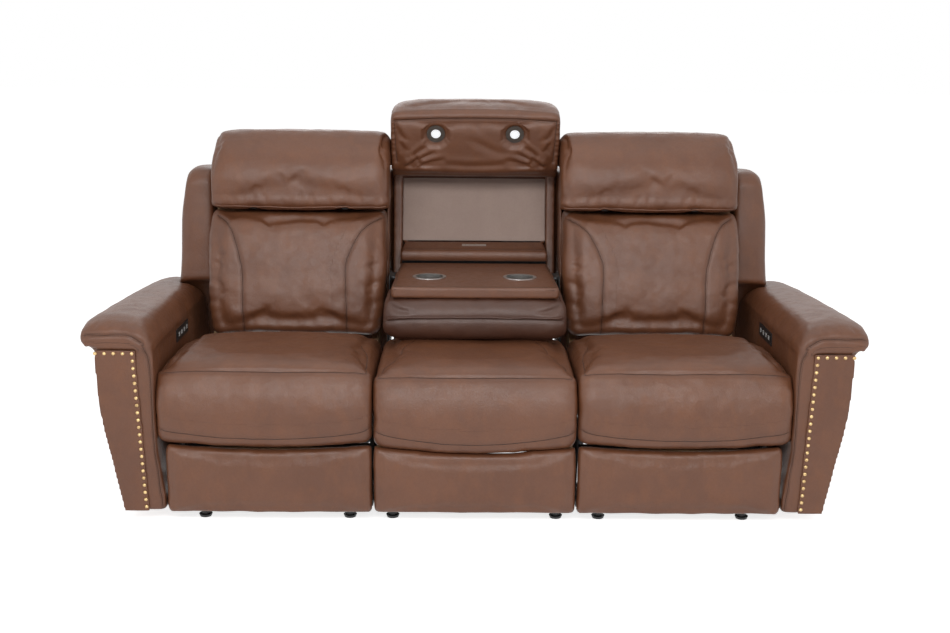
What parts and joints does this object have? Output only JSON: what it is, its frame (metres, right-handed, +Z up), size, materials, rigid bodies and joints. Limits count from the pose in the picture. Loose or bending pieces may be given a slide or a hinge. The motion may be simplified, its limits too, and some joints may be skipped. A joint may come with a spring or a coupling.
{
  "type": "sofa",
  "caption": "Power reclining sofa with pillow arms, winged backs, nailhead trim and a fold-down middle console with table and cup holders.",
  "frame": {"origin": "on the floor under the middle of the sofa's box in the pose of the picture", "axes": "+X to the right seen from the front, +Y from the front to the back, +Z up"},
  "size_m": [2.2844, 1.0254, 1.2032],
  "materials": {
    "leather": "antiqued semi-gloss",
    "suede_liner": "matt microfibre",
    "cushion_leather": "antiqued semi-gloss",
    "brass_nails": "aged satin",
    "black_plastic": "satin",
    "button_plastic": "gloss",
    "black_steel": "powder coat",
    "plywood": "raw",
    "stainless": "brushed",
    "satin_steel": "satin",
    "lens": "frosted"
  },
  "bodies": {
    "base": {"floor_glides": "black_plastic", "base_rails": "black_steel", "mechanism_plates": "black_steel", "seat_frames": "plywood", "seat_cushion_center": "cushion_leather", "front_panel_center": "cushion_leather", "nailheads": "brass_nails", "center_back_frame": "leather", "recess_liner": "suede_liner", "console_box": "black_plastic", "console_hinge_plates": "black_steel", "outside_back_center": "leather", "footrest_motors": "black_plastic", "center_headrest_hinges": "black_steel", "seat_cushion_left": "cushion_leather", "seat_cushion_right": "cushion_leather", "arm_body_left": "leather", "arm_body_right": "leather", "arm_pad_left": "cushion_leather", "arm_pad_right": "cushion_leather", "arm_front_panel_left": "leather", "arm_front_panel_right": "leather", "switch_panel_left": "black_plastic", "switch_panel_right": "black_plastic"},
    "console": {"console_table": "leather", "console_cushion": "cushion_leather", "cup_holders": "stainless"},
    "lid": {"box_lid": "leather", "lid_pull": "satin_steel"},
    "headrest_center": {"center_headrest": "cushion_leather", "lamp_bezels": "black_plastic", "lamp_lenses": "lens"},
    "back_left": {"back_frame_left": "plywood", "back_cushion_left": "cushion_leather", "back_wing_left": "cushion_leather", "outside_back_left": "leather", "headrest_hinge_left": "black_steel"},
    "headrest_left": {"headrest_left": "cushion_leather"},
    "lift_left": {"lift_links_left": "black_steel"},
    "reach_left": {"reach_links_left": "black_steel"},
    "footrest_left": {"footrest_board_left": "plywood", "footrest_pad_left": "cushion_leather"},
    "recline_open_button_left": {"recline_open_button_left": "button_plastic"},
    "recline_close_button_left": {"recline_close_button_left": "button_plastic"},
    "headrest_out_button_left": {"headrest_out_button_left": "button_plastic"},
    "headrest_in_button_left": {"headrest_in_button_left": "button_plastic"},
    "back_right": {"back_frame_right": "plywood", "back_cushion_right": "cushion_leather", "back_wing_right": "cushion_leather", "outside_back_right": "leather", "headrest_hinge_right": "black_steel"},
    "headrest_right": {"headrest_right": "cushion_leather"},
    "lift_right": {"lift_links_right": "black_steel"},
    "reach_right": {"reach_links_right": "black_steel"},
    "footrest_right": {"footrest_board_right": "plywood", "footrest_pad_right": "cushion_leather"},
    "recline_open_button_right": {"recline_open_button_right": "button_plastic"},
    "recline_close_button_right": {"recline_close_button_right": "button_plastic"},
    "headrest_out_button_right": {"headrest_out_button_right": "button_plastic"},
    "headrest_in_button_right": {"headrest_in_button_right": "button_plastic"}
  },
  "joints": [
    {"name": "recline_left", "type": "hinge", "parent": "base", "child": "back_left", "pos_m": [-0.6, 0.12, 0.36], "axis": [-1, 0, 0], "range_deg": [0, 35]},
    {"name": "headrest_tilt_left", "type": "hinge", "parent": "back_left", "child": "headrest_left", "pos_m": [-0.6, 0.154, 0.862], "axis": [1, 0, 0], "range_deg": [0, 35]},
    {"name": "footrest_lift_left", "type": "hinge", "parent": "base", "child": "lift_left", "pos_m": [-0.6, -0.293, 0.232], "axis": [-1, 0, 0], "range_deg": [0, 94]},
    {"name": "footrest_reach_left", "type": "hinge", "parent": "lift_left", "child": "reach_left", "pos_m": [-0.6, -0.25095, 0.03647], "axis": [-1, 0, 0], "range_deg": [-88.4, 0]},
    {"name": "footrest_turn_left", "type": "hinge", "parent": "reach_left", "child": "footrest_left", "pos_m": [-0.6, -0.425, 0.135], "axis": [-1, 0, 0], "range_deg": [0, 84.4]},
    {"name": "recline_open_button_left_press", "type": "slide", "parent": "base", "child": "recline_open_button_left", "axis": [-1, 0, 0], "range_m": [0, 0.0012], "stiffness_N_per_m": 400, "springref_m": -0.0012},
    {"name": "recline_close_button_left_press", "type": "slide", "parent": "base", "child": "recline_close_button_left", "axis": [-1, 0, 0], "range_m": [0, 0.0012], "stiffness_N_per_m": 400, "springref_m": -0.0012},
    {"name": "headrest_out_button_left_press", "type": "slide", "parent": "base", "child": "headrest_out_button_left", "axis": [-1, 0, 0], "range_m": [0, 0.0012], "stiffness_N_per_m": 400, "springref_m": -0.0012},
    {"name": "headrest_in_button_left_press", "type": "slide", "parent": "base", "child": "headrest_in_button_left", "axis": [-1, 0, 0], "range_m": [0, 0.0012], "stiffness_N_per_m": 400, "springref_m": -0.0012},
    {"name": "recline_right", "type": "hinge", "parent": "base", "child": "back_right", "pos_m": [0.6, 0.12, 0.36], "axis": [-1, 0, 0], "range_deg": [0, 35]},
    {"name": "headrest_tilt_right", "type": "hinge", "parent": "back_right", "child": "headrest_right", "pos_m": [0.6, 0.154, 0.862], "axis": [1, 0, 0], "range_deg": [0, 35]},
    {"name": "footrest_lift_right", "type": "hinge", "parent": "base", "child": "lift_right", "pos_m": [0.6, -0.293, 0.232], "axis": [-1, 0, 0], "range_deg": [0, 94]},
    {"name": "footrest_reach_right", "type": "hinge", "parent": "lift_right", "child": "reach_right", "pos_m": [0.6, -0.25095, 0.03647], "axis": [-1, 0, 0], "range_deg": [-88.4, 0]},
    {"name": "footrest_turn_right", "type": "hinge", "parent": "reach_right", "child": "footrest_right", "pos_m": [0.6, -0.425, 0.135], "axis": [-1, 0, 0], "range_deg": [0, 84.4]},
    {"name": "recline_open_button_right_press", "type": "slide", "parent": "base", "child": "recline_open_button_right", "axis": [1, 0, 0], "range_m": [0, 0.0012], "stiffness_N_per_m": 400, "springref_m": -0.0012},
    {"name": "recline_close_button_right_press", "type": "slide", "parent": "base", "child": "recline_close_button_right", "axis": [1, 0, 0], "range_m": [0, 0.0012], "stiffness_N_per_m": 400, "springref_m": -0.0012},
    {"name": "headrest_out_button_right_press", "type": "slide", "parent": "base", "child": "headrest_out_button_right", "axis": [1, 0, 0], "range_m": [0, 0.0012], "stiffness_N_per_m": 400, "springref_m": -0.0012},
    {"name": "headrest_in_button_right_press", "type": "slide", "parent": "base", "child": "headrest_in_button_right", "axis": [1, 0, 0], "range_m": [0, 0.0012], "stiffness_N_per_m": 400, "springref_m": -0.0012},
    {"name": "console_fold", "type": "hinge", "parent": "base", "child": "console", "pos_m": [0, 0.125, 0.53], "axis": [-1, 0, 0], "range_deg": [0, 105.4]},
    {"name": "box_lid_open", "type": "hinge", "parent": "base", "child": "lid", "pos_m": [0, 0.382, 0.714], "axis": [-1, 0, 0], "range_deg": [0, 84]},
    {"name": "center_headrest_flip", "type": "hinge", "parent": "base", "child": "headrest_center", "pos_m": [0, 0.43, 0.95], "axis": [1, 0, 0], "range_deg": [0, 57]}
  ],
  "couplings": [
    {"joint": "footrest_reach_left", "follows": "footrest_lift_left", "ratio": -0.94},
    {"joint": "footrest_turn_left", "follows": "footrest_lift_left", "ratio": 0.89745},
    {"joint": "footrest_reach_right", "follows": "footrest_lift_right", "ratio": -0.94},
    {"joint": "footrest_turn_right", "follows": "footrest_lift_right", "ratio": 0.89745}
  ]
}
